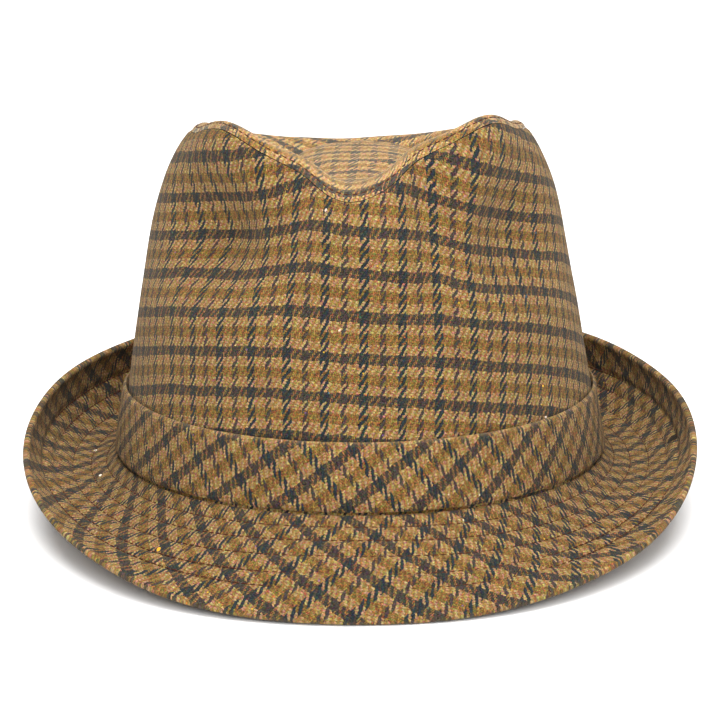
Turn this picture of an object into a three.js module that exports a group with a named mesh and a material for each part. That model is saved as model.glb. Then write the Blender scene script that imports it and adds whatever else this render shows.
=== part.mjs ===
import * as THREE from 'three';

// A cut-and-sewn short-brim hat in woven check. Millimetres, +Z up, the front of the hat looks along -Y.
// It is shaped with its base seam level, then tipped back to the way it rests on a table: on the front
// edge of the brim and on the underside of the turned-up back.

// Head opening, measured to the outside of the crown wall
const crownHalfWidth = 87.4;
const crownHalfLength = 103.7;

// Cloth thicknesses and clearances
const crownCloth = 1.7;
const bandCloth = 1.6;
const brimCloth = 2.6;
const seamGap = 0.3;

// Crown
const hemHeight = -1.5;
const footHeight = 25;
const footInset = 4.1;
const waistHeight = 60;
const tipCentreHeight = 109;
const tipCentreBack = 2;
const tipSeamBelowRim = 6.5;
const grooveShare = 0.36;
const islandShare = 0.66;

// Band and brim
const bandHeight = 24;
const brimWidth = 43;
const brimTurnLength = 8;

// The hat at rest
const restTilt = 6.39;
const restLift = 15.45;

// Facets
const columns = 60;
const wallRows = 8;
const rimRows = 3;
const grooveRows = 4;
const islandRows = 5;
const bandRows = 3;
const brimRows = 9;

// Sections of the crown, by angle from the front, plus to the wearer's left.
// Each In is how far inside the base oval the wall stands, at the waist, where it bends inwards and at the rim.
const crownSections = [
  { angle: -135, waistIn: 9, bendIn: 16, bend: 88, rimIn: 28, rim: 105, groove: 93, island: 106 },
  { angle: -90, waistIn: 8.8, bendIn: 18, bend: 98, rimIn: 32.5, rim: 117, groove: 97, island: 107 },
  { angle: -65, waistIn: 8.8, bendIn: 16, bend: 103, rimIn: 28, rim: 121, groove: 99, island: 107 },
  { angle: -42, waistIn: 8, bendIn: 13, bend: 108, rimIn: 22, rim: 126.5, groove: 101, island: 107.5 },
  { angle: -20, waistIn: 8.3, bendIn: 13, bend: 98, rimIn: 22.5, rim: 115.8, groove: 105, island: 107.8 },
  { angle: 0, waistIn: 8.5, bendIn: 13, bend: 92, rimIn: 22.5, rim: 106.8, groove: 105.5, island: 108 },
  { angle: 20, waistIn: 8.3, bendIn: 13, bend: 98, rimIn: 22.5, rim: 116.3, groove: 105, island: 107.8 },
  { angle: 42, waistIn: 8, bendIn: 13, bend: 109, rimIn: 21, rim: 128.5, groove: 101, island: 107.5 },
  { angle: 65, waistIn: 9.3, bendIn: 17, bend: 104, rimIn: 27, rim: 123.5, groove: 99, island: 107 },
  { angle: 90, waistIn: 10.8, bendIn: 18.5, bend: 99, rimIn: 32.5, rim: 118.5, groove: 97, island: 107 },
  { angle: 135, waistIn: 9, bendIn: 16, bend: 89, rimIn: 28, rim: 108, groove: 93, island: 106 },
  { angle: 180, waistIn: 8.7, bendIn: 15, bend: 82, rimIn: 26, rim: 100.5, groove: 92, island: 106 },
];

// The two dents that pinch the front of the crown, deepest at the rim
const pinchTop = 110;
const pinchReachIn = 0.45;
const pinches = [
  { angle: -17, halfWidth: 10, depth: 6.0, fadesAt: 45 },
  { angle: 23, halfWidth: 8, depth: 7.5, fadesAt: 45 },
];

// Sections of the brim: degrees above level where it leaves the crown, and at its edge
const brimSections = [
  { angle: -135, leave: -32, edge: 125 },
  { angle: -90, leave: -51, edge: 106 },
  { angle: -45, leave: -56, edge: 18 },
  { angle: 0, leave: -26, edge: -64 },
  { angle: 45, leave: -52, edge: 4 },
  { angle: 90, leave: -46, edge: 98 },
  { angle: 135, leave: -28, edge: 118 },
  { angle: 180, leave: -20, edge: 108 },
];

const cloth = {
  crownSide: new THREE.MeshStandardMaterial({ color: 0x9c7536, roughness: 0.95, metalness: 0 }),
  crownTip: new THREE.MeshStandardMaterial({ color: 0x94703a, roughness: 0.95, metalness: 0 }),
  band: new THREE.MeshStandardMaterial({ color: 0x8c6a35, roughness: 0.95, metalness: 0 }),
  brim: new THREE.MeshStandardMaterial({ color: 0x866534, roughness: 0.95, metalness: 0 }),
};

function smoothStep(x) {
  const t = THREE.MathUtils.clamp(x, 0, 1);
  return t * t * (3 - 2 * t);
}

function wrapAngle(angle) {
  return THREE.MathUtils.euclideanModulo(angle + 180, 360) - 180;
}

// One column of a table of sections at any angle, on a smooth curve that closes round the hat
function sectionValue(table, column, angle) {
  const count = table.length;
  const at = (i) => {
    const turns = Math.floor(i / count);
    const row = table[i - turns * count];
    return { angle: row.angle + 360 * turns, value: row[column] };
  };
  const target = wrapAngle(angle);
  let first = -1;
  while (at(first + 1).angle <= target) first += 1;
  const [before, start, end, after] = [at(first - 1), at(first), at(first + 1), at(first + 2)];
  const span = end.angle - start.angle;
  const startSlope = (end.value - before.value) / (end.angle - before.angle);
  const endSlope = (after.value - start.value) / (after.angle - start.angle);
  const x = (target - start.angle) / span;
  const ease = smoothStep(x);
  return (
    start.value * (1 - ease) +
    end.value * ease +
    span * startSlope * x * (1 - x) * (1 - x) -
    span * endSlope * x * x * (1 - x)
  );
}

// The base oval and its outward direction
function basePoint(angle) {
  const a = THREE.MathUtils.degToRad(angle);
  return new THREE.Vector3(crownHalfWidth * Math.sin(a), -crownHalfLength * Math.cos(a), 0);
}

function outward(angle) {
  const a = THREE.MathUtils.degToRad(angle);
  return new THREE.Vector3(crownHalfLength * Math.sin(a), -crownHalfWidth * Math.cos(a), 0).normalize();
}

// The named points of one section, from the hem up to the rim and in to the middle of the tip
function sectionPoints(angle) {
  const column = (name) => sectionValue(crownSections, name, angle);
  const wall = (inset, height) => {
    return basePoint(angle).addScaledVector(outward(angle), -inset).setZ(height);
  };
  const rim = wall(column('rimIn'), column('rim'));
  const centre = new THREE.Vector3(0, tipCentreBack, tipCentreHeight);
  const tip = (share, height) => rim.clone().lerp(centre, share).setZ(height);
  return [
    wall(0, hemHeight),
    wall(footInset, footHeight),
    wall(column('waistIn'), waistHeight),
    wall(column('bendIn'), column('bend')),
    rim,
    tip(grooveShare, column('groove')),
    tip(islandShare, column('island')),
    centre,
  ];
}

const rimPoint = 4;

// A smooth line through one section's points, measured by the distance along their chords
function sectionLine(angle) {
  const points = sectionPoints(angle);
  const reach = [0];
  for (let i = 1; i < points.length; i += 1) reach.push(reach[i - 1] + points[i].distanceTo(points[i - 1]));
  const last = points.length - 1;
  const slope = (i) => {
    const from = Math.max(i - 1, 0);
    const to = Math.min(i + 1, last);
    const direction = points[to].clone().sub(points[from]).divideScalar(reach[to] - reach[from]);
    return i === last ? direction.setZ(0) : direction;
  };
  const at = (distance) => {
    let i = 0;
    while (i < last - 1 && reach[i + 1] < distance) i += 1;
    const span = reach[i + 1] - reach[i];
    const x = (distance - reach[i]) / span;
    const ease = smoothStep(x);
    return new THREE.Vector3()
      .addScaledVector(points[i], 1 - ease)
      .addScaledVector(points[i + 1], ease)
      .addScaledVector(slope(i), span * x * (1 - x) * (1 - x))
      .addScaledVector(slope(i + 1), -span * x * x * (1 - x));
  };
  return { at, rim: reach[rimPoint], end: reach[last] };
}

// How far both pinches push the crown in at one place
function pinchDepth(angle, height, shareIn) {
  let depth = 0;
  for (const pinch of pinches) {
    const off = wrapAngle(angle - pinch.angle) / pinch.halfWidth;
    const rise = smoothStep((height - pinch.fadesAt) / (pinchTop - pinch.fadesAt));
    depth += pinch.depth * Math.exp(-off * off) * rise;
  }
  return depth * (1 - smoothStep(shareIn / pinchReachIn));
}

// The outside of the crown: step 0 is the hem, 1 the rim and 2 the middle of the tip
function crownPoint(angle, step) {
  const line = sectionLine(angle);
  const inward = Math.max(step - 1, 0);
  const distance = Math.min(step, 1) * line.rim + inward * (line.end - line.rim);
  const point = line.at(distance);
  return point.addScaledVector(outward(angle), -pinchDepth(angle, point.z, inward));
}

function tipSeamStep(angle) {
  return 1 - tipSeamBelowRim / sectionLine(angle).rim;
}

// The upper side of the brim, whose cloth keeps its width while its slope turns from crown to edge
function brimPoint(angle, distance) {
  const leave = THREE.MathUtils.degToRad(sectionValue(brimSections, 'leave', angle));
  const edge = THREE.MathUtils.degToRad(sectionValue(brimSections, 'edge', angle));
  const turn = (edge - leave) / brimWidth;
  const slope = leave + turn * distance;
  const out = (Math.sin(slope) - Math.sin(leave)) / turn;
  const up = (Math.cos(leave) - Math.cos(slope)) / turn;
  return basePoint(angle).addScaledVector(outward(angle), seamGap + out).setZ(up);
}

// The direction square to a surface given as a function of angle and distance
function faceNormal(surface, angle, step, stepSize) {
  const along = surface(angle + 1, step).sub(surface(angle - 1, step));
  const across = surface(angle, step + stepSize).sub(surface(angle, step - stepSize));
  return along.cross(across).normalize();
}

// A closed cloth wall round the hat from two grids of points, its outside and its inside
function wallGeometry(outside, inside, closedMiddle) {
  const rows = outside.length;
  const positions = [...outside.flat(), ...inside.flat()].flatMap((p) => [p.x, p.y, p.z]);
  const index = [];
  const at = (layer, row, column) => (layer * rows + row) * columns + (column % columns);
  const quad = (a, b, c, d) => index.push(a, b, c, a, c, d);
  for (let column = 0; column < columns; column += 1) {
    for (let row = 0; row < rows - 1; row += 1) {
      quad(at(0, row, column), at(0, row, column + 1), at(0, row + 1, column + 1), at(0, row + 1, column));
      quad(at(1, row, column + 1), at(1, row, column), at(1, row + 1, column), at(1, row + 1, column + 1));
    }
    quad(at(1, 0, column), at(1, 0, column + 1), at(0, 0, column + 1), at(0, 0, column));
    if (!closedMiddle) {
      const last = rows - 1;
      quad(at(0, last, column), at(0, last, column + 1), at(1, last, column + 1), at(1, last, column));
    }
  }
  const geometry = new THREE.BufferGeometry();
  geometry.setAttribute('position', new THREE.Float32BufferAttribute(positions, 3));
  geometry.setIndex(dropCollapsed(index, positions));
  return geometry;
}

// Where rows meet in one point at the middle of the tip, the triangles with no width are left out
function dropCollapsed(index, positions) {
  const place = (i) => positions.slice(3 * i, 3 * i + 3).map((v) => v.toFixed(4)).join();
  const kept = [];
  for (let i = 0; i < index.length; i += 3) {
    const corners = index.slice(i, i + 3);
    if (new Set(corners.map(place)).size === 3) kept.push(...corners);
  }
  return kept;
}

// From the shaping pose to the resting pose, with what would sink into the table flattened on it
function settle(point) {
  const sideways = new THREE.Vector3(1, 0, 0);
  const tipped = point.clone().applyAxisAngle(sideways, -THREE.MathUtils.degToRad(restTilt));
  return tipped.setZ(Math.max(tipped.z + restLift, 0));
}

function steps(count, make) {
  return Array.from({ length: count + 1 }, (_, i) => make(i / count));
}

function ringOf(make) {
  return Array.from({ length: columns }, (_, i) => settle(make(-180 + (360 * i) / columns)));
}

// Crown surface pushed inwards or outwards by a distance
function crownOffset(angle, step, distance) {
  const point = crownPoint(angle, step);
  if (step > 1.99) return point.add(new THREE.Vector3(0, 0, distance));
  return point.addScaledVector(faceNormal(crownPoint, angle, step, 0.01), distance);
}

function crownSide() {
  const rows = steps(wallRows, (x) => (angle) => x * tipSeamStep(angle));
  const outside = rows.map((row) => ringOf((angle) => crownOffset(angle, row(angle), 0)));
  const inside = rows.map((row) => ringOf((angle) => crownOffset(angle, row(angle), -crownCloth)));
  return new THREE.Mesh(wallGeometry(outside, inside, false), cloth.crownSide);
}

function crownTip() {
  const seam = (angle) => tipSeamStep(angle) + seamGap / sectionLine(angle).rim;
  const groove = 1 + grooveShare;
  const rows = [
    ...steps(rimRows, (x) => (angle) => seam(angle) + (1 - seam(angle)) * x),
    ...steps(grooveRows, (x) => () => 1 + (groove - 1) * x).slice(1),
    ...steps(islandRows, (x) => () => groove + (2 - groove) * x).slice(1),
  ];
  const outside = rows.map((row) => ringOf((angle) => crownOffset(angle, row(angle), 0)));
  const inside = rows.map((row) => ringOf((angle) => crownOffset(angle, row(angle), -crownCloth)));
  return new THREE.Mesh(wallGeometry(outside, inside, true), cloth.crownTip);
}

// The band lies on the foot of the crown, its lower edge just above the seam with the brim
function hatBand() {
  const lower = (angle) => (seamGap - hemHeight) / sectionLine(angle).rim;
  const upper = (angle) => (bandHeight - hemHeight) / sectionLine(angle).rim;
  const rows = steps(bandRows, (x) => (angle) => lower(angle) + (upper(angle) - lower(angle)) * x);
  const layer = (distance) => rows.map((row) => ringOf((angle) => crownOffset(angle, row(angle), distance)));
  return new THREE.Mesh(wallGeometry(layer(seamGap + bandCloth), layer(seamGap), false), cloth.band);
}

// The brim's end at the crown is upright, and further out its thickness is square to its surface
function brimUnder(angle, distance) {
  const normal = faceNormal(brimPoint, angle, distance, 0.5);
  const blend = smoothStep(distance / brimTurnLength);
  const down = new THREE.Vector3(0, 0, -1).lerp(normal, blend).normalize();
  return brimPoint(angle, distance).addScaledVector(down, brimCloth);
}

function brim() {
  const rows = steps(brimRows, (x) => brimWidth * x);
  const upperSide = rows.map((distance) => ringOf((angle) => brimPoint(angle, distance)));
  const underSide = rows.map((distance) => ringOf((angle) => brimUnder(angle, distance)));
  return new THREE.Mesh(wallGeometry(underSide, upperSide, false), cloth.brim);
}

const hat = new THREE.Group();
const pieces = { crown_side: crownSide(), crown_tip: crownTip(), hat_band: hatBand(), brim: brim() };
for (const [name, mesh] of Object.entries(pieces)) {
  mesh.name = name;
  hat.add(mesh);
}

// The origin is on the table, under the middle of the hat
const middle = new THREE.Box3().setFromObject(hat).getCenter(new THREE.Vector3());
hat.position.set(-middle.x, -middle.y, 0);

export default hat;
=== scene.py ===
import math
import bpy
import numpy as np
from mathutils import Matrix, Vector


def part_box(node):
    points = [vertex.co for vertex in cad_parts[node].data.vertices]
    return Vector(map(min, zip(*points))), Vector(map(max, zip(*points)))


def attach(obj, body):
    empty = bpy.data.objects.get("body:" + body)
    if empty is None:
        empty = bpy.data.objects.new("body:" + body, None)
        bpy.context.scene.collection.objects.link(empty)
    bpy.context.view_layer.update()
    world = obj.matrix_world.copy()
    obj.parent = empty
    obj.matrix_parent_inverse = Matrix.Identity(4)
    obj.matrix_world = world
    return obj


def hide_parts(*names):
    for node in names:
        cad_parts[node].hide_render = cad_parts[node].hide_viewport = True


# A cut-and-sewn short-brim hat in woven check. The shape is worked out in millimetres with the base
# seam level and the front towards -Y, then tipped back to the way the hat rests on the table.

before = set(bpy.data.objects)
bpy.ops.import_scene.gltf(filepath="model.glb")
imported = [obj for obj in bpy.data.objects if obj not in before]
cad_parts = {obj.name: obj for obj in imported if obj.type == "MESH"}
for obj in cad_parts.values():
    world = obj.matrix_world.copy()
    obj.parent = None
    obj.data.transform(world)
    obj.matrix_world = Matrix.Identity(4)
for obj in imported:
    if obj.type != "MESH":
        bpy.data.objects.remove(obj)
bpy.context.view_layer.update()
print("frame loaded")

head = {"halfWidth": 87.4, "halfLength": 103.7}

crown = {
    "cloth": 1.7, "hemHeight": -1.5, "footHeight": 25, "footIn": 4.1, "waistHeight": 60,
    "tipCentreHeight": 109, "tipCentreBack": 2, "tipSeamBelowRim": 6.5, "seamGap": 0.3,
    "grooveShare": 0.36, "islandShare": 0.66, "unevenness": 0.22,
}

# Sections of the crown by angle from the front, plus to the wearer's left
crownColumns = ("angle", "waistIn", "bendIn", "bend", "rimIn", "rim", "groove", "island")
crownSections = (
    (-135, 9, 16, 88, 28, 105, 93, 106),
    (-90, 8.8, 18, 98, 32.5, 117, 97, 107),
    (-65, 8.8, 16, 103, 28, 121, 99, 107),
    (-42, 8, 13, 108, 22, 126.5, 101, 107.5),
    (-20, 8.3, 13, 98, 22.5, 115.8, 105, 107.8),
    (0, 8.5, 13, 92, 22.5, 106.8, 105.5, 108),
    (20, 8.3, 13, 98, 22.5, 116.3, 105, 107.8),
    (42, 8, 13, 109, 21, 128.5, 101, 107.5),
    (65, 9.3, 17, 104, 27, 123.5, 99, 107),
    (90, 10.8, 18.5, 99, 32.5, 118.5, 97, 107),
    (135, 9, 16, 89, 28, 108, 93, 106),
    (180, 8.7, 15, 82, 26, 100.5, 92, 106),
)

# Front pinches: the narrow creases, then the broad hollows beside them, shallower again at the rim
pinchColumns = ("angle", "halfWidth", "depth", "fadesAt", "fullAt", "shareAtRim")
pinches = (
    (-17, 10, 6, 45, 110, 1),
    (23, 8, 7.5, 45, 110, 1),
    (-43, 19, 18, 58, 88, 0.06),
    (48, 16, 10.5, 56, 88, 0.06),
)
pinchReach = {"easesFrom": 86, "rim": 121, "shareIn": 0.45}

brimShape = {"width": 43, "cloth": 2.6, "turnLength": 8}

# Sections of the brim: degrees above level where it leaves the crown, and at its edge
brimColumns = ("angle", "leave", "edge")
brimSections = (
    (-135, -32, 125),
    (-90, -51, 106),
    (-45, -56, 18),
    (0, -26, -64),
    (45, -52, 4),
    (90, -46, 98),
    (135, -28, 118),
    (180, -20, 108),
)

restPose = {"tilt": 6.39, "lift": 15.45, "clearance": 0.02}


def smoothStep(x):
    t = np.clip(x, 0, 1)
    return t * t * (3 - 2 * t)


def hermite(start, end, startSlope, endSlope, span, x):
    ease = x * x * (3 - 2 * x)
    bulge = span * x * (1 - x) * ((1 - x) * startSlope - x * endSlope)
    return start * (1 - ease) + end * ease + bulge


def aroundHat(columns, rows, name, angles):
    # One column of a table of sections at any angle, on a smooth curve that closes round the hat
    table = np.array(rows, float)
    knots, values = table[:, 0], table[:, columns.index(name)]
    knots = np.concatenate([knots[-2:] - 360, knots, knots[:2] + 360])
    values = np.concatenate([values[-2:], values, values[:2]])
    wanted = (angles + 180) % 360 - 180
    i = np.clip(np.searchsorted(knots, wanted, side="right") - 1, 1, len(knots) - 3)
    slopes = (values[2:] - values[:-2]) / (knots[2:] - knots[:-2])
    span = knots[i + 1] - knots[i]
    return hermite(values[i], values[i + 1], slopes[i - 1], slopes[i], span, (wanted - knots[i]) / span)


def basePoint(angles):
    a = np.radians(angles)
    return np.stack([head["halfWidth"] * np.sin(a), -head["halfLength"] * np.cos(a), 0 * a], -1)


def outward(angles):
    a = np.radians(angles)
    way = np.stack([head["halfLength"] * np.sin(a), -head["halfWidth"] * np.cos(a), 0 * a], -1)
    return way / np.linalg.norm(way, axis=-1, keepdims=True)


def atHeight(points, height):
    points = points.copy()
    points[..., 2] = height
    return points


def sectionPoints(angles):
    # The hem, foot, waist, bend, rim, groove, island and centre of each section
    def column(name):
        return aroundHat(crownColumns, crownSections, name, angles)

    def wall(inset, height):
        return atHeight(basePoint(angles) - outward(angles) * np.asarray(inset)[..., None], height)

    rim = wall(column("rimIn"), column("rim"))
    centre = np.array([0, crown["tipCentreBack"], crown["tipCentreHeight"]], float)

    def towardsCentre(share, height):
        return atHeight(rim + (centre - rim) * share, height)

    flat = np.zeros_like(angles)
    return np.stack([
        wall(flat, crown["hemHeight"]),
        wall(flat + crown["footIn"], crown["footHeight"]),
        wall(column("waistIn"), crown["waistHeight"]),
        wall(column("bendIn"), column("bend")),
        rim,
        towardsCentre(crown["grooveShare"], column("groove")),
        towardsCentre(crown["islandShare"], column("island")),
        rim * 0 + centre,
    ])


def sectionReach(angles):
    # How far along each section its named points lie, by their chords
    points = sectionPoints(angles)
    chords = np.linalg.norm(np.diff(points, axis=0), axis=-1)
    return points, np.concatenate([chords[:1] * 0, np.cumsum(chords, axis=0)])


def sideReach(angles):
    # The length of each section from the hem to the rim
    return sectionReach(angles)[1][4]


def pinchDepth(angles, heights, inward):
    depth = np.zeros_like(angles)
    nearRim = smoothStep((heights - pinchReach["easesFrom"]) / (pinchReach["rim"] - pinchReach["easesFrom"]))
    for row in pinches:
        pinch = dict(zip(pinchColumns, row))
        off = ((angles - pinch["angle"] + 180) % 360 - 180) / pinch["halfWidth"]
        rise = smoothStep((heights - pinch["fadesAt"]) / (pinch["fullAt"] - pinch["fadesAt"]))
        depth += pinch["depth"] * np.exp(-off * off) * rise * (1 - nearRim * (1 - pinch["shareAtRim"]))
    return depth * (1 - smoothStep(inward / pinchReach["shareIn"]))


def crownPoints(angles, steps):
    # The outside of the crown: step 0 is the hem, 1 the rim and 2 the middle of the tip
    points, reach = sectionReach(angles)
    inward = np.maximum(steps - 1, 0)
    distance = np.minimum(steps, 1) * reach[4] + inward * (reach[7] - reach[4])
    which = np.zeros(angles.shape, int)
    for k in range(1, 7):
        which += reach[k] < distance
    before, after = np.maximum(np.arange(8) - 1, 0), np.minimum(np.arange(8) + 1, 7)
    slopes = (points[after] - points[before]) / (reach[after] - reach[before])[..., None]
    slopes[7, ..., 2] = 0

    def take(table, i):
        return np.take_along_axis(table, i.reshape((1,) + i.shape + (1,) * (table.ndim - 1 - i.ndim)), 0)[0]

    span = take(reach, which + 1) - take(reach, which)
    x = ((distance - take(reach, which)) / span)[..., None]
    point = hermite(
        take(points, which), take(points, which + 1), take(slopes, which), take(slopes, which + 1),
        span[..., None], x,
    )
    return point - outward(angles) * pinchDepth(angles, point[..., 2], inward)[..., None]


def squareTo(surface, angles, steps, reach):
    # The direction square to a surface given as a function of angle and step
    along = surface(angles + 1, steps) - surface(angles - 1, steps)
    across = surface(angles, steps + reach) - surface(angles, steps - reach)
    normal = np.cross(along, across)
    return normal / np.maximum(np.linalg.norm(normal, axis=-1, keepdims=True), 1e-9)


def crownNormal(angles, steps):
    normal = squareTo(crownPoints, angles, np.minimum(steps, 1.98), 0.01)
    upright = smoothStep((steps - 1.93) / 0.05)[..., None]
    normal = normal * (1 - upright) + np.array([0, 0, 1.0]) * upright
    return normal / np.linalg.norm(normal, axis=-1, keepdims=True)


def unevenCloth(angles, heights):
    # The slight unevenness of pressed wool cloth, in millimetres
    a = np.radians(angles)
    waves = np.sin(3 * a + heights / 19 + 0.7) + 0.7 * np.sin(7 * a - heights / 11 + 2.1)
    return crown["unevenness"] * (waves + 0.5 * np.sin(13 * a + heights / 7 + 4.0))


def tipSeamStep(angles):
    return 1 - crown["tipSeamBelowRim"] / sideReach(angles)


def brimMiddle(angles, distance):
    # The brim's upper side before its stitching: its slope turns evenly from the crown to the edge
    leave = np.radians(aroundHat(brimColumns, brimSections, "leave", angles))
    edge = np.radians(aroundHat(brimColumns, brimSections, "edge", angles))
    turn = (edge - leave) / brimShape["width"]
    slope = leave + turn * distance
    out = (np.sin(slope) - np.sin(leave)) / turn
    up = (np.cos(leave) - np.cos(slope)) / turn
    return atHeight(basePoint(angles) + outward(angles) * (crown["seamGap"] + out)[..., None], up)


def brimPoints(angles, distance, depth):
    # Depth 0 is the upper side and the cloth's thickness the under side
    normal = squareTo(brimMiddle, angles, distance, 0.5)
    blend = smoothStep(distance / brimShape["turnLength"])[..., None]
    down = np.array([0, 0, -1.0]) * (1 - blend) + normal * blend
    down /= np.linalg.norm(down, axis=-1, keepdims=True)
    return brimMiddle(angles, distance) + down * depth[..., None]


def tilted(points):
    # From the level pose to the hat's tilt
    t = math.radians(restPose["tilt"])
    x, y, z = points[..., 0], points[..., 1], points[..., 2]
    return np.stack([x, y * math.cos(t) + z * math.sin(t), z * math.cos(t) - y * math.sin(t)], -1)


def findShift():
    # The origin lies under the middle of the hat, and only the brim reaches that far
    angles, distance = np.meshgrid(np.linspace(-180, 180, 241), np.linspace(25, brimShape["width"], 30))
    faces = [tilted(brimPoints(angles, distance, 0 * angles + d)) for d in (0, brimShape["cloth"])]
    reach = np.stack(faces).reshape(-1, 3)
    middle = (reach.min(0) + reach.max(0)) / 2
    low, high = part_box("brim")
    boxMiddle = (low + high) / 2 * 1000
    return np.array([boxMiddle.x - middle[0], boxMiddle.y - middle[1], restPose["lift"]])


shift = findShift()


def atRest(points):
    # Millimetres in the level pose to metres at rest, flattened where the cloth lies on the table
    placed = tilted(points) + shift
    placed[..., 2] = np.maximum(placed[..., 2], restPose["clearance"])
    return placed * 0.001


# Lengths round the base seam, plus and minus from the front
arcAngles = np.linspace(-180, 180, 1441)
arcSteps = np.linalg.norm(np.diff(basePoint(arcAngles), axis=0), axis=1)
arcLength = np.concatenate([[0], np.cumsum(arcSteps)])
arcLength -= arcLength[len(arcLength) // 2]


def baseArc(angles):
    return np.interp(angles, arcAngles, arcLength)


def turned(u, v, degrees):
    a = math.radians(degrees)
    return u * math.cos(a) + v * math.sin(a), -u * math.sin(a) + v * math.cos(a)


# Pieces. Each starts as a grid and is wrapped round the hat, its seam merged at the back

mergeReach = 0.000004
lowest = 0.00001  # nothing fine reaches below the table


def deselect():
    bpy.ops.object.select_all(action="DESELECT")


def wrapGrid(name, columns, rows, place, clothAt, paintedSheenAt):
    deselect()
    bpy.ops.mesh.primitive_grid_add(x_subdivisions=columns, y_subdivisions=rows, size=1)
    piece = bpy.context.object
    piece.name = piece.data.name = name
    mesh = piece.data
    flat = np.zeros(len(mesh.vertices) * 3)
    mesh.vertices.foreach_get("co", flat)
    flat = flat.reshape(-1, 3) + 0.5
    angles, rowShare = flat[:, 0] * 360 - 180, flat[:, 1]
    mesh.vertices.foreach_set("co", place(angles, rowShare).ravel())
    # Painted sheen mask: how much of the paler nap tone each point takes along rims and edges
    paintedSheen = mesh.attributes.new("paintedSheen", "FLOAT", "POINT")
    paintedSheen.data.foreach_set("value", paintedSheenAt(angles, rowShare).astype(np.float32))
    layer = mesh.uv_layers[0]
    layer.name = "cloth"
    uv = np.zeros(len(layer.data) * 2)
    layer.data.foreach_get("uv", uv)
    uv = uv.reshape(-1, 2)
    u, v = clothAt(uv[:, 0] * 360 - 180, uv[:, 1])
    layer.data.foreach_set("uv", (np.stack([u, v], -1) * 0.001).ravel())
    bpy.ops.object.mode_set(mode="EDIT")
    bpy.ops.mesh.select_all(action="SELECT")
    bpy.ops.mesh.remove_doubles(threshold=mergeReach)
    bpy.ops.mesh.normals_make_consistent(inside=False)
    bpy.ops.object.mode_set(mode="OBJECT")
    return piece


def faceOutward(piece, upright):
    # Turns the faces over where the wrapped sheet faces the wrong way
    mesh = piece.data
    flips = sum(1 if upright(p.center).dot(p.normal) > 0 else -1 for p in list(mesh.polygons)[::7])
    if flips < 0:
        bpy.ops.object.mode_set(mode="EDIT")
        bpy.ops.mesh.select_all(action="SELECT")
        bpy.ops.mesh.flip_normals()
        bpy.ops.object.mode_set(mode="OBJECT")


def finishPiece(piece, thickness, nodeName, material):
    deselect()
    piece.select_set(True)
    bpy.context.view_layer.objects.active = piece
    if thickness:
        solid = piece.modifiers.new("cloth", "SOLIDIFY")
        solid.thickness, solid.offset, solid.use_even_offset = thickness * 0.001, -1, True
        bpy.ops.object.modifier_apply(modifier=solid.name)
    bpy.ops.object.shade_smooth_by_angle(angle=math.radians(60))
    piece.data.materials.clear()
    piece.data.materials.append(material)
    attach(piece, "root")
    if nodeName:
        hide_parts(nodeName)
    print(piece.name, len(piece.data.polygons))


# Materials


def tone(red, green, blue):
    def linear(c):
        c /= 255
        return c / 12.92 if c <= 0.04045 else ((c + 0.055) / 1.055) ** 2.4
    return (linear(red), linear(green), linear(blue), 1)


class Nodes:
    # Adds shader nodes to one material, each wired as it is made
    def __init__(self, name):
        self.material = bpy.data.materials.new(name)
        self.material.use_nodes = True
        self.tree = self.material.node_tree
        self.tree.nodes.clear()

    def add(self, kind, inputs=(), **settings):
        made = self.tree.nodes.new("ShaderNode" + kind)
        for key, value in settings.items():
            setattr(made, key, value)
        for key, value in dict(inputs).items():
            if isinstance(value, bpy.types.NodeSocket):
                self.tree.links.new(value, made.inputs[key])
            else:
                made.inputs[key].default_value = value
        return made

    def math(self, operation, *values):
        return self.add("Math", enumerate(values), operation=operation).outputs[0]

    def vectors(self, operation, *values):
        return self.add("VectorMath", enumerate(values), operation=operation).outputs[0]

    def noise(self, vector, scale, detail=2.0, roughness=0.5):
        inputs = {"Vector": vector, "Scale": scale, "Detail": detail, "Roughness": roughness}
        return self.add("TexNoise", inputs)

    def join(self, x, y, z=0.0):
        return self.add("CombineXYZ", {0: x, 1: y, 2: z}).outputs[0]

    def steps(self, value, stops):
        # A colour ramp without blending, from (position, colour) pairs
        ramp = self.add("ValToRGB", {0: value})
        ramp.color_ramp.interpolation = "CONSTANT"
        elements = ramp.color_ramp.elements
        elements[0].position, elements[0].color = stops[0]
        elements[1].position, elements[1].color = stops[1]
        for position, color in stops[2:]:
            elements.new(position).color = color
        return ramp.outputs[0]

    def mix(self, factor, first, second, blend="MIX"):
        made = self.add("Mix", data_type="RGBA", blend_type=blend, clamp_factor=True)
        for key, value in ((0, factor), (6, first), (7, second)):
            if isinstance(value, bpy.types.NodeSocket):
                self.tree.links.new(value, made.inputs[key])
            else:
                made.inputs[key].default_value = value
        return made.outputs[2]

    def grey(self, value):
        return self.add("CombineColor", {0: value, 1: value, 2: value}).outputs[0]

    def finish(self, inputs):
        shader = self.add("BsdfPrincipled", inputs)
        self.tree.links.new(shader.outputs[0], self.add("OutputMaterial").inputs[0])
        return self.material


weave = {
    "warpPitch": 0.00055, "weftPitch": 0.0009,
    "warpRepeat": 24.0, "navyAt": 2.0, "navyHalf": 2.8, "brownHalf": 2.0,
    "weftRepeat": 16.0, "stripePicks": 4.0,
    "navy": tone(58, 71, 76), "warpTan": tone(196, 148, 80), "warpBrown": tone(98, 84, 78),
    "dimTan": tone(172, 130, 80), "charcoal": tone(88, 80, 69), "lightTan": tone(222, 182, 126),
    "olive": tone(148, 116, 62),
}

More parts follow.
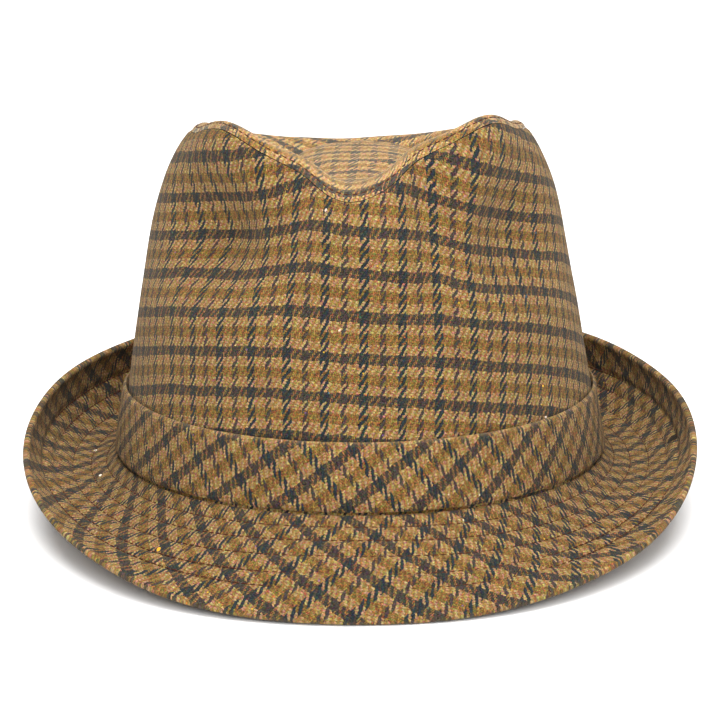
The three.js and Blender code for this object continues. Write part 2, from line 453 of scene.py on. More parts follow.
# How the yarns wander, in metres, and how uneven their shades are
yarn = {
    "wander": ((1500, 0.00088), (190, 0.0014)),
    "raggedScale": 2600, "raggedness": 2.2, "floatWidth": 0.95, "floatTaper": 0.35, "charcoalTaper": 0.12,
    "fibreShade": 2.0, "grainScale": 1800, "grain": 3.0, "patchScale": 60, "patches": 0.3,
    "brightness": 0.35, "hueScale": 1400, "hueSpread": 1.9, "hues": 0.9,
    "warmScale": 1300, "orange": tone(206, 130, 62), "straw": tone(226, 188, 100),
}

# The brushed face of the cloth, the paler tone painted along its edges as sheen, and the coloured neps caught
# in it
nap = {
    "tone": tone(190, 158, 110), "paintedSheenScale": 900, "fuzzScale": 5200, "bump": 0.55, "bumpDepth": 0.00022,
    "sheenTint": (1.0, 0.86, 0.66, 1), "specular": 0.12,
    "nepScale": 230.0, "nepRadius": 0.075, "nepShare": 0.6, "nepStrength": 0.6,
}
nepTones = (
    (0, tone(205, 165, 40)), (0.22, tone(190, 95, 45)), (0.42, tone(60, 95, 120)),
    (0.6, tone(110, 75, 130)), (0.74, tone(60, 110, 70)), (0.93, tone(205, 190, 165)),
)

# Single marks of the cloth: the piece, its place on the cloth map, length and width in millimetres, turn
markColumns = ("piece", "u", "v", "length", "width", "turn", "color")
marks = (
    # A near-black spot on the brim: painted shade inside a small slit in the cloth
    ("brimFinishPaintedShade", 161.9, -92.4, 6.6, 4.6, 51, tone(4, 4, 3)),
    ("brimFinishPaintedShade", -38.2, 61.7, 1.9, 1.5, 20, tone(206, 150, 40)),
    ("brimFinishPaintedShade", -140.1, 128.8, 2.6, 1.1, -39, tone(235, 224, 205)),
    ("brimFinishPaintedShade", -108.9, 100.6, 2.4, 1.1, -39, tone(235, 224, 205)),
    ("crownFinish", -3.2, 62.7, 1.1, 0.6, 40, tone(215, 180, 160)),
    ("crownFinish", 80.7, 36.5, 1.2, 0.8, 10, tone(235, 215, 200)),
    ("crownFinish", 79.3, 47.2, 0.9, 0.8, 0, tone(232, 184, 60)),
    ("crownFinish", -9.0, 101.4, 1.2, 0.7, 50, tone(215, 180, 165)),
)
markStrength = 0.95


def wandering(n, cloth):
    # The cloth map, moved a little so that the yarns don't lie dead straight
    place = cloth
    for scale, reach in yarn["wander"]:
        noise = n.noise(cloth, scale, 1.0).outputs[1]
        centred = n.vectors("SUBTRACT", noise, (0.5, 0.5, 0.5))
        moved = n.add("VectorMath", {0: centred, "Scale": reach}, operation="SCALE").outputs[0]
        place = n.vectors("ADD", place, moved)
    return place


def darkWarps(n, s):
    # Whether a point lies in the navy or in the brown warps, which take turns
    half = weave["warpRepeat"] / 2
    pastNavy = n.math("FLOORED_MODULO", n.math("SUBTRACT", s, weave["navyAt"]), weave["warpRepeat"])
    fromBrown = n.math("ABSOLUTE", n.math("SUBTRACT", pastNavy, half))
    inNavy = n.math("GREATER_THAN", fromBrown, half - weave["navyHalf"])
    inBrown = n.math("LESS_THAN", fromBrown, weave["brownHalf"])
    return inNavy, inBrown


def slantedTooth(n, cloth, s, t, toothHalf):
    # The dark warps are fuller yarns, so each twill float of theirs reads as one slanted tooth
    ragged = n.noise(cloth, yarn["raggedScale"], 2.0).outputs[0]
    slant = n.math("FLOORED_MODULO", n.math("ADD", n.math("SUBTRACT", s, t), 1.5), 4.0)
    reach = n.math("MULTIPLY_ADD", n.math("SUBTRACT", ragged, 0.5), yarn["raggedness"], toothHalf)
    return n.math("LESS_THAN", n.math("ABSOLUTE", n.math("SUBTRACT", slant, 2.0)), reach)


def twillWeave(n, cloth, s, t, toothHalf):
    # A 2/2 twill, crossing by crossing: whether the warp shows, how high the yarn stands, and its colour
    acrossWarp, acrossWeft = n.math("FRACT", s), n.math("FRACT", t)
    pick = n.math("FLOOR", t)
    twill = n.math("FLOORED_MODULO", n.math("SUBTRACT", n.math("FLOOR", s), pick), 4.0)
    warpUp = n.math("LESS_THAN", twill, 1.5)
    weftAt = n.math("FLOORED_MODULO", pick, weave["weftRepeat"])
    onCharcoal = n.math("LESS_THAN", weftAt, weave["stripePicks"])
    inNavy, inBrown = darkWarps(n, s)

    # How far off its middle line each yarn is, and how near the end of its float, from 0 to 1
    offWarp = n.math("ABSOLUTE", n.math("MULTIPLY_ADD", acrossWarp, 2.0, -1.0))
    offWeft = n.math("ABSOLUTE", n.math("MULTIPLY_ADD", acrossWeft, 2.0, -1.0))
    alongWarp = n.math("SUBTRACT", acrossWeft, twill)
    alongWeft = n.math("ADD", acrossWarp, n.math("SUBTRACT", twill, 3.0))
    warpEnds = n.math("POWER", n.math("ABSOLUTE", alongWarp), 2.0)
    weftEnds = n.math("POWER", n.math("ABSOLUTE", alongWeft), 2.0)

    narrowed = n.math("MULTIPLY_ADD", warpEnds, yarn["floatTaper"], offWarp)
    narrowed = n.math("MULTIPLY_ADD", onCharcoal, yarn["charcoalTaper"], narrowed)
    shown = n.math("MULTIPLY", warpUp, n.math("LESS_THAN", narrowed, yarn["floatWidth"]))
    tooth = slantedTooth(n, cloth, s, t, toothHalf)
    shown = n.add("Mix", {0: n.math("MAXIMUM", inNavy, inBrown), 2: shown, 3: tooth}).outputs[0]

    warpHeight = n.math("MULTIPLY", n.math("SUBTRACT", 1.0, n.math("POWER", offWarp, 2.0)),
                        n.math("MULTIPLY_ADD", warpEnds, -0.45, 1.0))
    weftHeight = n.math("MULTIPLY", n.math("SUBTRACT", 1.0, n.math("POWER", offWeft, 2.5)),
                        n.math("MULTIPLY_ADD", weftEnds, -0.35, 1.0))
    # Where a warp yarn is on top but pulled in, the weft shows deep down, and so takes more painted shade
    weftHeight = n.math("MULTIPLY", weftHeight, n.math("MULTIPLY_ADD", warpUp, -0.55, 1.0))
    height = n.add("Mix", {0: shown, 2: weftHeight, 3: warpHeight}).outputs[0]

    warpColor = n.mix(onCharcoal, weave["warpTan"], weave["dimTan"])
    warpColor = n.mix(inBrown, warpColor, weave["warpBrown"])
    warpColor = n.mix(inNavy, warpColor, weave["navy"])
    weftPlace = n.math("MULTIPLY_ADD", weftAt, 1 / weave["weftRepeat"], 0.5 / weave["weftRepeat"])
    weftColor = n.steps(weftPlace, [
        (0, weave["charcoal"]), (0.25, weave["lightTan"]), (0.5, weave["olive"]), (0.75, weave["lightTan"]),
    ])
    return shown, height, n.mix(shown, weftColor, warpColor)


def alongFibres(n, s, t, shown):
    # Noise drawn out along whichever yarn shows
    along = n.mix(shown, n.join(n.math("MULTIPLY", s, 0.45), n.math("MULTIPLY", t, 2.6)),
                  n.join(n.math("MULTIPLY", s, 2.6), n.math("MULTIPLY", t, 0.6), 7.0))
    return n.noise(along, 1.0, 2.0, 0.6).outputs[0]


def melangeAndHollowShade(n, cloth, s, t, fibres, height):
    # Each yarn is spun from fibres of several tones, tuft by tuft, and each yarn is painted darker where it
    # lies low in the weave, as shade in the hollows
    tuftPlace = n.join(n.math("FLOOR", n.math("MULTIPLY", s, 0.5)), n.math("FLOOR", t))
    tuft = n.add("TexWhiteNoise", {0: tuftPlace}, noise_dimensions="3D").outputs[0]
    fibreShade = n.math("MULTIPLY", fibres, yarn["fibreShade"])
    shade = n.math("MULTIPLY", n.math("MULTIPLY_ADD", tuft, 0.3, 0.85), fibreShade)
    # Painted shade: yarns are darker where they lie lower, down in the hollows between yarns
    shade = n.math("MULTIPLY", shade, n.math("MULTIPLY_ADD", height, 0.46, 0.64))
    grain = n.math("SUBTRACT", n.noise(cloth, yarn["grainScale"], 3.0, 0.75).outputs[0], 0.5)
    shade = n.math("MULTIPLY", shade, n.math("MULTIPLY_ADD", grain, yarn["grain"], 1.0))
    patches = n.noise(cloth, yarn["patchScale"], 2.0).outputs[0]
    patchShade = n.math("MULTIPLY_ADD", patches, yarn["patches"], 1 - yarn["patches"] / 2)
    return n.math("MULTIPLY", shade, patchShade)


def mixedHues(n, cloth, color):
    # Orange and straw fibres show through the light yarns in patches, and every yarn's hue drifts
    warmth = n.noise(cloth, yarn["warmScale"], 2.0, 0.6).outputs[0]
    light = n.math("GREATER_THAN", n.add("SeparateColor", {0: color}).outputs[0], 0.2)
    orangeHere = n.math("MULTIPLY", light, n.math("MULTIPLY_ADD", warmth, 2.6, -1.25))
    strawHere = n.math("MULTIPLY", light, n.math("MULTIPLY_ADD", warmth, -2.6, 1.2))
    color = n.mix(n.math("MINIMUM", orangeHere, 0.5), color, yarn["orange"])
    color = n.mix(n.math("MINIMUM", strawHere, 0.5), color, yarn["straw"])
    spread, middle = yarn["hueSpread"], (1 - yarn["hueSpread"]) / 2
    noise = n.noise(cloth, yarn["hueScale"], 3.0, 0.75).outputs[1]
    hues = n.vectors("MULTIPLY_ADD", noise, (spread,) * 3, (middle,) * 3)
    return n.mix(yarn["hues"], color, hues, "OVERLAY")


def addNeps(n, cloth, color):
    # Small coloured neps caught in the yarn
    nep = n.add("TexVoronoi", {"Vector": cloth, "Scale": nap["nepScale"]})
    nepHere = n.math("LESS_THAN", nep.outputs[0], nap["nepRadius"])
    chance = n.add("SeparateColor", {0: nep.outputs[1]})
    rare = n.math("MULTIPLY", nepHere, n.math("LESS_THAN", chance.outputs[1], nap["nepShare"]))
    nepColor = n.steps(chance.outputs[0], nepTones)
    return n.mix(n.math("MULTIPLY", rare, nap["nepStrength"]), color, nepColor)


def addMarks(n, cloth, color, name):
    for row in marks:
        mark = dict(zip(markColumns, row))
        if mark["piece"] == name:
            spot = n.add("Mapping", {
                0: cloth,
                1: (mark["u"] * 0.001, mark["v"] * 0.001, 0),
                2: (0, 0, math.radians(mark["turn"])),
                3: (mark["length"] * 0.0005, mark["width"] * 0.0005, 1),
            }, vector_type="TEXTURE").outputs[0]
            reach = n.add("VectorMath", {0: spot}, operation="LENGTH").outputs[1]
            inside = n.math("LESS_THAN", reach, 1.0)
            color = n.mix(n.math("MULTIPLY", inside, markStrength), color, mark["color"])
    return color


def addPaintedSheen(n, cloth, color):
    # Painted sheen: a paler nap tone mixed in along the tip's rim, the band's top edge and the brim's edge,
    # standing in for the light the cloth catches there
    paintedSheen = n.add("Attribute", attribute_name="paintedSheen").outputs[2]
    uneven = n.noise(cloth, nap["paintedSheenScale"], 2.0).outputs[0]
    paintedSheenStrength = n.math("MULTIPLY", paintedSheen, n.math("MULTIPLY", uneven, 0.9))
    return n.mix(paintedSheenStrength, color, nap["tone"])


def clothMaterial(name, phaseU, phaseV, brightness=1.0, sheen=0.05, toothHalf=1.12):
    # The woven check, worked out from the piece's own cloth map, in metres
    n = Nodes(name)
    cloth = n.add("UVMap", uv_map="cloth").outputs[0]
    split = n.add("SeparateXYZ", {0: wandering(n, cloth)})
    s = n.math("MULTIPLY_ADD", split.outputs[0], 1 / weave["warpPitch"], phaseU)  # counts warp yarns
    t = n.math("MULTIPLY_ADD", split.outputs[1], 1 / weave["weftPitch"], phaseV)  # counts weft yarns
    shown, height, color = twillWeave(n, cloth, s, t, toothHalf)
    fibres = alongFibres(n, s, t, shown)
    # The brightness factor scales a whole piece's colour: above 1 it is painted light, below 1 painted shade
    shade = n.math("MULTIPLY", melangeAndHollowShade(n, cloth, s, t, fibres, height), brightness * yarn["brightness"])
    color = n.mix(1.0, mixedHues(n, cloth, color), n.grey(shade), "MULTIPLY")
    color = addNeps(n, cloth, color)
    color = addMarks(n, cloth, color, name)
    color = addPaintedSheen(n, cloth, color)

    fuzz = n.noise(cloth, nap["fuzzScale"], 2.0, 0.7).outputs[0]
    relief = n.math("ADD", height, n.math("MULTIPLY", fuzz, 0.8))
    relief = n.math("ADD", relief, n.math("MULTIPLY", fibres, 0.5))
    bump = n.add("Bump", {"Strength": nap["bump"], "Distance": nap["bumpDepth"], "Height": relief}).outputs[0]
    return n.finish({
        "Base Color": color, "Roughness": n.math("MULTIPLY_ADD", fuzz, 0.2, 0.78), "Normal": bump,
        "Sheen Weight": sheen, "Sheen Roughness": 0.5, "Sheen Tint": nap["sheenTint"],
        "Specular IOR Level": nap["specular"],
    })


def threadMaterial():
    n = Nodes("threadFinish")
    place = n.add("TexCoord").outputs["Object"]
    twist = n.noise(place, 2600, 2.0).outputs[0]
    color = n.mix(twist, tone(46, 20, 12), tone(84, 44, 26))
    bump = n.add("Bump", {"Strength": 0.4, "Distance": 0.0001, "Height": twist}).outputs[0]
    return n.finish({
        "Base Color": color, "Roughness": n.math("MULTIPLY_ADD", twist, 0.2, 0.7), "Normal": bump,
        "Specular IOR Level": 0.15,
    })


def fuzzMaterial():
    n = Nodes("fuzzFinish")
    place = n.add("TexCoord").outputs["Object"]
    kind = n.noise(place, 900, 1.0).outputs[0]
    return n.finish({"Base Color": n.mix(kind, tone(80, 60, 38), tone(164, 128, 82)), "Roughness": 0.9})


threadFinish = threadMaterial()
fuzzFinish = fuzzMaterial()
print("thread and fuzz finishes ready")

# Crown side: one cloth piece, cut as part of a ring, its straight grain at the front

crownSideLook = {
    "columns": 288, "rows": 72, "coneRadius": 518, "grainTurn": -3.5, "seamDip": 0.35, "seamDipWidth": 0.9,
}

# How far the pressing has drawn the stripes, in weft yarns, at five distances up the cloth in millimetres
stripeHeights = (35, 60, 75, 90, 115)
stripeColumns = ("angle", "at35", "at60", "at75", "at90", "at115")
stripeShifts = (
    (-120, 6, 7, 8, 9, 10),
    (-76, 8, 8.8, 9.6, 11.3, 12),
    (-50, 4, 6, 8.4, 10.4, 11.8),
    (-35, 2.2, 3.5, 7.4, 8.9, 10.5),
    (-20, 0.1, 1.4, 2.6, 4.3, 6),
    (-12, -0.1, 1.4, 0.7, 1.2, 2),
    (0, -0.1, 1.6, 1.1, 1.6, 1.6),
    (14, 0.2, 1.1, 1.9, 1.9, 2),
    (24, 0.5, 0.5, 1.7, 3.3, 5),
    (32, 0.7, 1, 4.1, 5.7, 7),
    (42, 0.8, 1.7, 5.4, 7.8, 8.2),
    (57, 1, 2, 5, 7.6, 8.5),
    (80, 1.5, 2.5, 3.2, 5, 7.5),
    (120, 1.5, 2, 3, 4, 5),
    (180, 3, 4, 5, 6, 7),
)


def seamDip(below, width, depth):
    return depth * np.exp(-(below / width) ** 2)


def crownSidePlace(angles, rowShare):
    steps = rowShare * tipSeamStep(angles)
    points = crownPoints(angles, steps)
    below = (1 - rowShare) * tipSeamStep(angles) * sideReach(angles)
    lift = unevenCloth(angles, points[:, 2]) * smoothStep(points[:, 2] / 40)
    lift = lift - seamDip(below, crownSideLook["seamDipWidth"], crownSideLook["seamDip"])
    return atRest(points + crownNormal(angles, steps) * lift[:, None])


def stripeShift(angles, up):
    levels = [aroundHat(stripeColumns, stripeShifts, name, angles) for name in stripeColumns[1:]]
    shift = levels[0]
    for k in range(len(levels) - 1):
        share = (up - stripeHeights[k]) / (stripeHeights[k + 1] - stripeHeights[k])
        shift = shift + (levels[k + 1] - levels[k]) * np.clip(share, 0, 1)
    return shift * weave["weftPitch"] * 1000


def crownSideCloth(angles, rowShare):
    up = rowShare * tipSeamStep(angles) * sideReach(angles) + crown["hemHeight"]
    radius = crownSideLook["coneRadius"]
    turn = baseArc(angles) / radius
    u, v = (radius - up) * np.sin(turn), radius - (radius - up) * np.cos(turn)
    return u, turned(u, v, crownSideLook["grainTurn"])[1] + stripeShift(angles, up)


# No painted sheen on the crown side
def noPaintedSheen(angles, rowShare):
    return np.zeros_like(angles)


crownSide = wrapGrid(
    "crownSide", crownSideLook["columns"], crownSideLook["rows"], crownSidePlace, crownSideCloth, noPaintedSheen,
)
faceOutward(crownSide, lambda p: Vector((p.x, p.y, 0)))
crownFinish = clothMaterial("crownFinish", 17.0, 7.2, 0.985)
finishPiece(crownSide, crown["cloth"], "crown_side", crownFinish)

# Crown tip: the oval top, wrapped over the rim to its seam

crownTipLook = {
    "columns": 288, "rows": 96, "rimRows": 0.24, "frontSpread": 0.3, "paintedSheenStrength": 0.3, "paintedSheenWidth": 1.8,
    "stitchAboveSeam": 2.8, "stitchDip": 0.22, "stitchDipWidth": 0.7,
}


def crownTipSteps(angles, rowShare):
    seam = tipSeamStep(angles) + crown["seamGap"] / sideReach(angles)
    share = crownTipLook["rimRows"]
    up = seam + (1 - seam) * rowShare / share
    return np.where(rowShare < share, up, 1 + (rowShare - share) / (1 - share))


def fromRim(angles, steps):
    # Signed distance along the section from the rim, plus inwards
    reach = sectionReach(angles)[1]
    return np.where(steps < 1, (steps - 1) * reach[4], (steps - 1) * (reach[7] - reach[4]))


def crownTipPlace(angles, rowShare):
    steps = crownTipSteps(angles, rowShare)
    points = crownPoints(angles, steps)
    aboveSeam = fromRim(angles, steps) + crown["tipSeamBelowRim"] - crown["seamGap"]
    lift = unevenCloth(angles, points[:, 2]) * smoothStep((2 - steps) / 0.3)
    lift = lift - seamDip(aboveSeam, crownSideLook["seamDipWidth"], crownSideLook["seamDip"])
    aboveStitches = aboveSeam - crownTipLook["stitchAboveSeam"]
    lift = lift - seamDip(aboveStitches, crownTipLook["stitchDipWidth"], crownTipLook["stitchDip"])
    return atRest(points + crownNormal(angles, steps) * lift[:, None])


def crownTipCloth(angles, rowShare):
    # Laid out from the middle, and spread a little along the front of the rim
    steps = crownTipSteps(angles, rowShare)
    reach = sectionReach(angles)[1]
    out = (reach[7] - reach[4]) - fromRim(angles, steps)
    rim = crownPoints(angles, np.ones_like(angles))
    way = np.arctan2(rim[:, 0], -(rim[:, 1] - crown["tipCentreBack"]))
    nearRim = smoothStep((steps - 1) / -0.2 + 1)
    spread = 1 + crownTipLook["frontSpread"] * nearRim * np.cos(way * 1.57)
    way = np.where(np.abs(way) < 1, way * spread, way)
    return out * np.sin(way), -out * np.cos(way)


# Painted sheen along the tip's rim, where the cloth turns over the top
def crownTipPaintedSheen(angles, rowShare):
    off = fromRim(angles, crownTipSteps(angles, rowShare)) / crownTipLook["paintedSheenWidth"]
    return crownTipLook["paintedSheenStrength"] * np.exp(-off ** 2)


crownTip = wrapGrid(
    "crownTip", crownTipLook["columns"], crownTipLook["rows"], crownTipPlace, crownTipCloth, crownTipPaintedSheen,
)
faceOutward(crownTip, lambda p: Vector((0, 0, 1)))
# The tip is the same cloth, painted lighter with a brightness of 1.37: painted light for the top light it
# catches
tipFinishPaintedLight = clothMaterial("tipFinishPaintedLight", 4.0, 1.6, 1.37, 0.22, 0.7)
finishPiece(crownTip, crown["cloth"], "crown_tip", tipFinishPaintedLight)

# Hat band: bias-cut, folded over at both edges, so its section is a closed round-ended strip

bandLook = {
    "columns": 288, "rows": 44, "height": 24, "cloth": 1.6, "fold": 1.1, "biasTurn": 37, "wave": 0.18,
    "paintedSheenStrength": 0.3, "paintedSheenWidth": 0.8,
}


def ringShare(rowShare, length, thickness, fold):
    # Once round a thin strip with rounded ends: how far up it, and how deep inside its outer face
    total = 2 * (length - 2 * fold) + 2 * fold * 2
    at = rowShare * total
    flatLength = length - 2 * fold
    arc = 2 * fold
    up = np.where(at < flatLength, fold + at, 0.0)
    deep = np.zeros_like(at)
    top = (at >= flatLength) & (at < flatLength + arc)
    turn = (at - flatLength) / arc * np.pi
    up = np.where(top, length - fold + fold * np.sin(turn), up)
    deep = np.where(top, thickness * (1 - np.cos(turn)) / 2, deep)
    inner = (at >= flatLength + arc) & (at < 2 * flatLength + arc)
    up = np.where(inner, length - fold - (at - flatLength - arc), up)
    deep = np.where(inner, thickness, deep)
    low = at >= 2 * flatLength + arc
    turn = (at - 2 * flatLength - arc) / arc * np.pi
    up = np.where(low, fold - fold * np.sin(turn), up)
    deep = np.where(low, thickness * (1 + np.cos(turn)) / 2, deep)
    return up, deep


def bandSection(rowShare):
    # Height above the base seam, and distance out from the crown
    up, deep = ringShare(rowShare, bandLook["height"] - crown["seamGap"], bandLook["cloth"], bandLook["fold"])
    return up + crown["seamGap"], crown["seamGap"] + bandLook["cloth"] - deep


def bandPlace(angles, rowShare):
    up, out = bandSection(rowShare)
    steps = (up - crown["hemHeight"]) / sideReach(angles)
    points = crownPoints(angles, steps)
    a = np.radians(angles)
    out = out + bandLook["wave"] * np.sin(5 * a + up / 6) * (out > 0.6)
    return atRest(points + crownNormal(angles, steps) * out[:, None])


def bandCloth(angles, rowShare):
    return turned(baseArc(angles), bandSection(rowShare)[0], bandLook["biasTurn"])


# Painted sheen along the band's top edge
def bandPaintedSheen(angles, rowShare):
    below = bandLook["height"] - bandSection(rowShare)[0]
    return bandLook["paintedSheenStrength"] * np.exp(-(below / bandLook["paintedSheenWidth"]) ** 2)


hatBand = wrapGrid("hatBand", bandLook["columns"], bandLook["rows"], bandPlace, bandCloth, bandPaintedSheen)
# The band is the same cloth, painted a little darker with a brightness of 0.96: painted shade
finishPiece(hatBand, 0, "hat_band", clothMaterial("bandFinishPaintedShade", 0.0, 0.0, 0.96))

# Brim: two cloths and a folded edge in one closed section, quilted by five rows of stitches

brimLook = {
    "columns": 360, "rows": 150, "biasTurn": 39, "stretch": 1.2, "edgeRound": 1.3,
    "rowWidth": 1.1, "rowDepth": 0.6, "creaseDepth": 0.5, "creaseWidth": 1.7,
    "rowsAt": (6.0, 12.0, 18.5, 25.5, 31.0), "wave": 0.35, "paintedSheenStrength": 0.12, "paintedSheenWidth": 0.9,
}


def brimSection(rowShare):
    # Once round the brim's section: distance from the crown, and depth below its upper side
    return ringShare(rowShare, brimShape["width"], brimShape["cloth"], brimLook["edgeRound"])


def quilting(distance):
    depth = np.zeros_like(distance)
    for row in brimLook["rowsAt"]:
        depth += brimLook["rowDepth"] * np.exp(-((distance - row) / brimLook["rowWidth"]) ** 2)
    return depth


def crease(angles, distance):
    # The turned-up part folds a little along its outermost row
    turnedUp = smoothStep((np.abs(angles) - 50) / 35)
    off = (distance - brimLook["rowsAt"][-1]) / brimLook["creaseWidth"]
    return brimLook["creaseDepth"] * turnedUp * np.exp(-off ** 2)


def brimPlace(angles, rowShare):
    distance, depth = brimSection(rowShare)
    side = 1 - 2 * depth / brimShape["cloth"]
    a = np.radians(angles)
    fadeIn = smoothStep((distance - 12) / 20)
    wave = brimLook["wave"] * (np.sin(4 * a + 1.0) + 0.6 * np.sin(9 * a + 2.3)) * fadeIn
    sunk = quilting(distance) * side + crease(angles, distance) * np.maximum(side, 0)
    return atRest(brimPoints(angles, distance, depth + sunk - wave))


def brimCloth(angles, rowShare):
    return turned(baseArc(angles) * brimLook["stretch"], brimSection(rowShare)[0], brimLook["biasTurn"])


# Faint painted sheen along the brim's edge
def brimPaintedSheen(angles, rowShare):
    fromEdge = brimShape["width"] - brimSection(rowShare)[0]
    return brimLook["paintedSheenStrength"] * np.exp(-(fromEdge / brimLook["paintedSheenWidth"]) ** 2)


brim = wrapGrid("brimCloth", brimLook["columns"], brimLook["rows"], brimPlace, brimCloth, brimPaintedSheen)
# The brim is the same cloth, painted darker with a brightness of 0.9: painted shade
finishPiece(brim, 0, "brim", clothMaterial("brimFinishPaintedShade", 0.0, 0.0, 0.9))

# Stitches: short rounded threads laid along each row, joined into one piece

stitchLook = {"length": 2.6, "gap": 0.4, "radius": 0.21, "sides": 5, "sunkInTip": 0.25}

# One stitch in five rings: each one's share of the length and of the radius, and its lift in millimetres
stitchRings = {
    "along": (0.0, 0.22, 0.5, 0.78, 1.0), "girth": (0.35, 0.9, 1.0, 0.9, 0.35),
    "lift": (-0.16, 0.06, 0.12, 0.06, -0.16),
}


def stitchLine(surface):
    # Points and normals of stitches of equal length along a closed line round the hat
    line, normals = surface(np.linspace(-180, 180, 2881))
    reach = np.concatenate([[0], np.cumsum(np.linalg.norm(np.diff(line, axis=0), axis=1))])
    pitch = stitchLook["length"] + stitchLook["gap"]
    count = int(reach[-1] / (pitch * 0.001))
    shares = np.array(stitchRings["along"]) * stitchLook["length"] / pitch
    at = (np.arange(count)[:, None] + shares[None]) * reach[-1] / count
    points = np.stack([np.interp(at, reach, line[:, k]) for k in range(3)], -1)
    ups = np.stack([np.interp(at, reach, normals[:, k]) for k in range(3)], -1)
    return points, ups / np.linalg.norm(ups, axis=-1, keepdims=True)


def stitchTubes(points, ups):
    # The corners of every stitch of one line, ring by ring
    girth = np.array(stitchRings["girth"]) * stitchLook["radius"] * 0.001
    lift = np.array(stitchRings["lift"]) * 0.001
    way = np.gradient(points, axis=1)
    way /= np.linalg.norm(way, axis=-1, keepdims=True)
    side = np.cross(way, ups)
    side /= np.linalg.norm(side, axis=-1, keepdims=True)
    centre = points + ups * lift[None, :, None]
    turns = [2 * math.pi * k / stitchLook["sides"] for k in range(stitchLook["sides"])]
    corners = [centre + (side * math.cos(a) + ups * math.sin(a)) * girth[None, :, None] for a in turns]
    return np.stack(corners, 2).reshape(-1, 3)


def stitchFaces(start):
    sides, rings = stitchLook["sides"], len(stitchRings["along"])
    faces = []
    for ring in range(rings - 1):
        for k in range(sides):
            a = start + ring * sides + k
            b = start + ring * sides + (k + 1) % sides
            faces.append((a, a + sides, b + sides, b))
    lastRing = start + (rings - 1) * sides
    faces.append(tuple(start + k for k in range(sides)))
    faces.append(tuple(lastRing + k for k in reversed(range(sides))))
    return faces


def addMesh(name, verts, faces):
    mesh = bpy.data.meshes.new(name)
    mesh.from_pydata(verts, [], faces)
    piece = bpy.data.objects.new(name, mesh)
    bpy.context.scene.collection.objects.link(piece)
    return piece


def stitchMesh(name, lines):
    verts = np.concatenate([stitchTubes(points, ups) for points, ups in lines])
    verts[:, 2] = np.maximum(verts[:, 2], lowest)
    corners = stitchLook["sides"] * len(stitchRings["along"])
    faces = [face for start in range(0, len(verts), corners) for face in stitchFaces(start)]
    return addMesh(name, verts.tolist(), faces)


def outwardNormals(points, above):
    way = above - points
    return way / np.linalg.norm(way, axis=-1, keepdims=True)


def brimLine(distance, under):
    # One row of stitches, on the brim's upper or under side
    def surface(angles):
        d = np.full_like(angles, distance)
        if under:
            sunk, above = brimShape["cloth"] - quilting(d), 1
        else:
            sunk, above = quilting(d) + crease(angles, d), -1
        points = atRest(brimPoints(angles, d, sunk))
        return points, outwardNormals(points, atRest(brimPoints(angles, d, sunk + above)))
    return surface


def tipLine(angles):
    # The row of stitches just above the crown tip's seam
    steps = tipSeamStep(angles) + (crown["seamGap"] + crownTipLook["stitchAboveSeam"]) / sideReach(angles)
    points, normal = crownPoints(angles, steps), crownNormal(angles, steps)
    lift = unevenCloth(angles, points[:, 2]) - stitchLook["sunkInTip"]
    placed = points + normal * lift[:, None]
    return atRest(placed), outwardNormals(atRest(placed), atRest(placed + normal))


for name, under in (("brimStitches", False), ("underStitches", True)):
    lines = [stitchLine(brimLine(row, under)) for row in brimLook["rowsAt"]]
    finishPiece(stitchMesh(name, lines), 0, None, threadFinish)
finishPiece(stitchMesh("tipStitches", [stitchLine(tipLine)]), 0, None, threadFinish)

# Fuzz: fine fibres that stand off the cloth, as joined thin needles

fuzzLook = {"longest": 0.8, "width": 0.022, "stray": 0.65}


def fuzzMesh(name, count, surface, seed):
    random = np.random.default_rng(seed)
    angles = random.uniform(-180, 180, count)
    points, ups = surface(angles, random.uniform(0, 1, count))
    way = ups + random.normal(0, fuzzLook["stray"], (count, 3))
    way /= np.linalg.norm(way, axis=-1, keepdims=True)
    length = random.uniform(0.25, 1, count) ** 1.6 * fuzzLook["longest"] * 0.001
    side = np.cross(way, random.normal(0, 1, (count, 3)))
    side /= np.linalg.norm(side, axis=-1, keepdims=True)
    other = np.cross(way, side)
    width = fuzzLook["width"] * 0.001
    corners = [points + (side * math.cos(a) + other * math.sin(a)) * width for a in (0, 2.094, 4.189)]
    end = points + way * length[:, None]
    end[:, 2] = np.maximum(end[:, 2], lowest)
    verts = np.stack(corners + [end], 1).reshape(-1, 3)
    base = np.arange(count)[:, None] * 4
    faces = np.concatenate([base + f for f in ([0, 1, 3], [1, 2, 3], [2, 0, 3], [2, 1, 0])])
    return addMesh(name, verts.tolist(), faces.tolist())


def fuzzOn(place):
    # Points and outward directions on a piece's outer face
    def surface(angles, rows):
        points = place(angles, rows)
        across = place(angles + 0.3, rows) - place(angles - 0.3, rows)
        up = place(angles, np.minimum(rows + 0.004, 1)) - place(angles, np.maximum(rows - 0.004, 0))
        normal = np.cross(across, up)
        return points, normal / np.maximum(np.linalg.norm(normal, axis=-1, keepdims=True), 1e-12)
    return surface


def bandFacePlace(angles, rows):
    # The first half of the band's section is its outer face
    return bandPlace(angles, rows * 0.5)


def brimFuzz(angles, rows):
    points, normal = fuzzOn(brimPlace)(angles, rows)
    return points, -normal


for name, count, surface, slotName, seed in (
    ("crownFuzz", 15000, fuzzOn(crownSidePlace), "crown_cloth", 16),
    ("tipFuzz", 9000, fuzzOn(crownTipPlace), "tip_cloth", 14),
    ("bandFuzz", 7000, fuzzOn(bandFacePlace), "band_cloth", 15),
    ("brimFuzz", 22000, brimFuzz, "brim_cloth", 15),
):
    finishPiece(fuzzMesh(name, count, surface, seed), 0, None, fuzzFinish)

# Camera at the photograph's angle, set in the level pose and tipped with the hat

cameraLook = {"elevation": 12.0, "sideways": 2.2, "distance": 1300, "targetHeight": 30.7, "lens": 179.4}


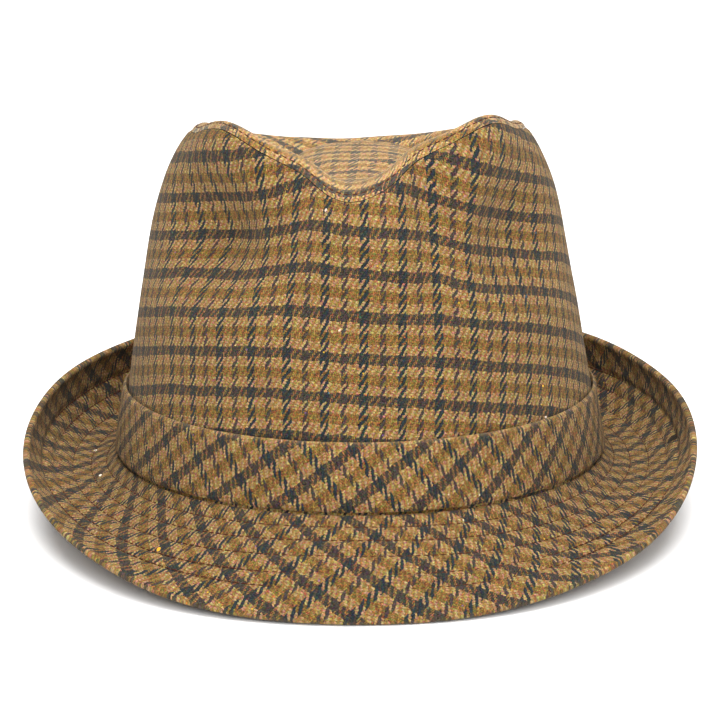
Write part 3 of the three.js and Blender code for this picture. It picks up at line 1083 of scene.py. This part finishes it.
def placeCamera():
    raised, aside = math.radians(cameraLook["elevation"]), math.radians(cameraLook["sideways"])
    back = Vector((math.sin(aside) * math.cos(raised), -math.cos(aside) * math.cos(raised), math.sin(raised)))
    right = Vector((math.cos(aside), math.sin(aside), 0))
    up = back.cross(right)
    target = Vector((0, 0, cameraLook["targetHeight"]))
    tilt = Matrix.Rotation(-math.radians(restPose["tilt"]), 3, "X")
    place = (tilt @ (target + back * cameraLook["distance"]) + Vector(shift)) * 0.001
    turn = (tilt @ Matrix((right, up, back)).transposed()).to_4x4()
    bpy.ops.object.camera_add()
    camera = bpy.context.object
    camera.matrix_world = Matrix.Translation(place) @ turn
    camera.data.lens, camera.data.sensor_width = cameraLook["lens"], 36
    camera.data.clip_end = 20
    bpy.context.scene.camera = camera


placeCamera()
print("camera placed")

# Plain pale floor and soft studio light

studio = {
    "floor": (0.93, 0.93, 0.93, 1), "floorSpeck": (0.92, 0.92, 0.92, 1), "world": 0.47, "aim": (0, 0, 0.08),
}

lampColumns = ("name", "power", "size", "place")
lamps = (
    ("topLight", 43, 1.6, (0, -0.15, 1.5)),
    ("keyLight", 26, 1.2, (0.1, -1.6, 1.1)),
    ("sideLight", 3, 1.0, (1.5, -0.7, 0.7)),
)


def floorMaterial():
    n = Nodes("floorFinish")
    place = n.add("TexCoord").outputs["Object"]
    grain = n.noise(place, 40, 2.0).outputs[0]
    color = n.mix(grain, studio["floorSpeck"], studio["floor"])
    return n.finish({"Base Color": color, "Roughness": 0.9, "Specular IOR Level": 0.1})


deselect()
bpy.ops.mesh.primitive_plane_add(size=14, location=(0, 0, -0.0004))
floor = bpy.context.object
floor.name = "floor"
floor.data.materials.append(floorMaterial())


def softLight(lamp):
    deselect()
    bpy.ops.object.light_add(type="AREA", location=lamp["place"])
    light = bpy.context.object
    light.name = lamp["name"]
    light.data.energy, light.data.size, light.data.shape = lamp["power"], lamp["size"], "DISK"
    way = Vector(lamp["place"]) - Vector(studio["aim"])
    light.rotation_euler = way.to_track_quat("Z", "Y").to_euler()


for row in lamps:
    softLight(dict(zip(lampColumns, row)))
world = bpy.data.worlds.new("studio")
world.use_nodes = True
world.node_tree.nodes["Background"].inputs[0].default_value = (1, 1, 1, 1)
world.node_tree.nodes["Background"].inputs[1].default_value = studio["world"]
bpy.context.scene.world = world
bpy.context.scene.view_settings.view_transform = "Standard"
print("studio ready")
